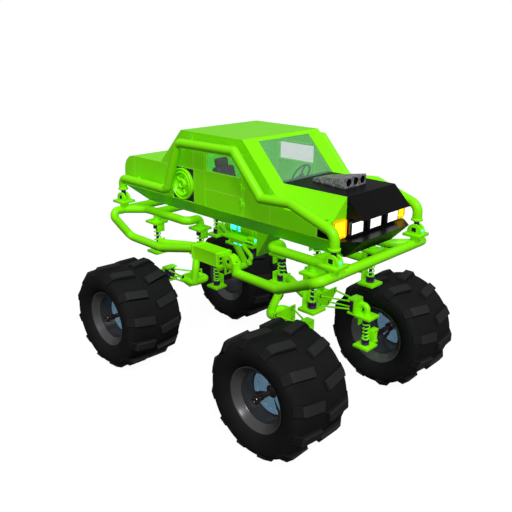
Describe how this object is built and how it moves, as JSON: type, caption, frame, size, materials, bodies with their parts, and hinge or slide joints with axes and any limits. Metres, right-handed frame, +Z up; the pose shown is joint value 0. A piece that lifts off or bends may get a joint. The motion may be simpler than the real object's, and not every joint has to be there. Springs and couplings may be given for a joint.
{
  "type": "monster truck",
  "caption": "Monster truck: angular two-door pickup body on tube rails and a high frame with coilovers, link arms, lamp band and four big chevron-lugged tyres that steer and roll",
  "frame": {"origin": "On the ground, midway between the axles and the two sides", "axes": "+X forward, +Y to the truck's left, +Z up"},
  "size_m": [5.012, 3.62, 3.82],
  "materials": {
    "lime_paint": "gloss",
    "black_paint": "satin",
    "purple_damper": "gloss",
    "rim_chrome": "polished",
    "scoop_metal": "mottled",
    "steel": "dark",
    "tyre": "matt",
    "glass": "clear",
    "head_lamp": "clear",
    "corner_lamp": "clear",
    "seat_cloth": "plain",
    "dash_plastic": "matt"
  },
  "bodies": {
    "chassis": {"axle_blocks": "steel", "bed_deck": "lime_paint", "belly_wedge": "lime_paint", "body_mounts": "lime_paint", "body_tub": "lime_paint", "coil_springs": "lime_paint", "corner_lamps": "corner_lamp", "dampers": "purple_damper", "dashboard": "dash_plastic", "exo_rail_left": "lime_paint", "exo_rail_right": "lime_paint", "front_fenders": "lime_paint", "head_lamps": "head_lamp", "hood": "black_paint", "link_rods": "lime_paint", "lower_rail_left": "lime_paint", "lower_rail_right": "lime_paint", "nose": "black_paint", "power_unit": "lime_paint", "quarter_panels": "lime_paint", "rear_glass": "glass", "roof_panel": "lime_paint", "scoop": "scoop_metal", "seats": "seat_cloth", "side_fans": "lime_paint", "spring_plates": "lime_paint", "upper_frame": "lime_paint", "wheel_carriers": "lime_paint", "windshield": "glass"},
    "door_left": {"door_left": "lime_paint", "door_glass_left": "glass"},
    "knuckle_left": {"knuckle_left": "steel"},
    "door_right": {"door_right": "lime_paint", "door_glass_right": "glass"},
    "knuckle_right": {"knuckle_right": "steel"},
    "wheel_front_left": {"tyre_front_left": "tyre", "rim_front_left": "rim_chrome"},
    "wheel_front_right": {"tyre_front_right": "tyre", "rim_front_right": "rim_chrome"},
    "wheel_rear_left": {"tyre_rear_left": "tyre", "rim_rear_left": "rim_chrome"},
    "wheel_rear_right": {"tyre_rear_right": "tyre", "rim_rear_right": "rim_chrome"}
  },
  "joints": [
    {"name": "steer_left", "type": "hinge", "parent": "chassis", "child": "knuckle_left", "pos_m": [1.668, 0.85, 0.838], "axis": [0, 0, 1], "range_deg": [-20, 20]},
    {"name": "steer_right", "type": "hinge", "parent": "chassis", "child": "knuckle_right", "pos_m": [1.668, -0.85, 0.838], "axis": [0, 0, 1], "range_deg": [-20, 20]},
    {"name": "spin_front_left", "type": "hinge", "parent": "knuckle_left", "child": "wheel_front_left", "pos_m": [1.668, 1.287, 0.838], "axis": [0, 1, 0], "continuous": true},
    {"name": "spin_front_right", "type": "hinge", "parent": "knuckle_right", "child": "wheel_front_right", "pos_m": [1.668, -1.287, 0.838], "axis": [0, 1, 0], "continuous": true},
    {"name": "spin_rear_left", "type": "hinge", "parent": "chassis", "child": "wheel_rear_left", "pos_m": [-1.668, 1.287, 0.838], "axis": [0, 1, 0], "continuous": true},
    {"name": "spin_rear_right", "type": "hinge", "parent": "chassis", "child": "wheel_rear_right", "pos_m": [-1.668, -1.287, 0.838], "axis": [0, 1, 0], "continuous": true},
    {"name": "open_door_left", "type": "hinge", "parent": "chassis", "child": "door_left", "pos_m": [0.486, 0.794, 3], "axis": [0, 0, 1], "range_deg": [-65, 0]},
    {"name": "open_door_right", "type": "hinge", "parent": "chassis", "child": "door_right", "pos_m": [0.486, -0.794, 3], "axis": [0, 0, 1], "range_deg": [0, 65]}
  ],
  "couplings": [
    {"joint": "steer_right", "follows": "steer_left", "ratio": 1}
  ]
}
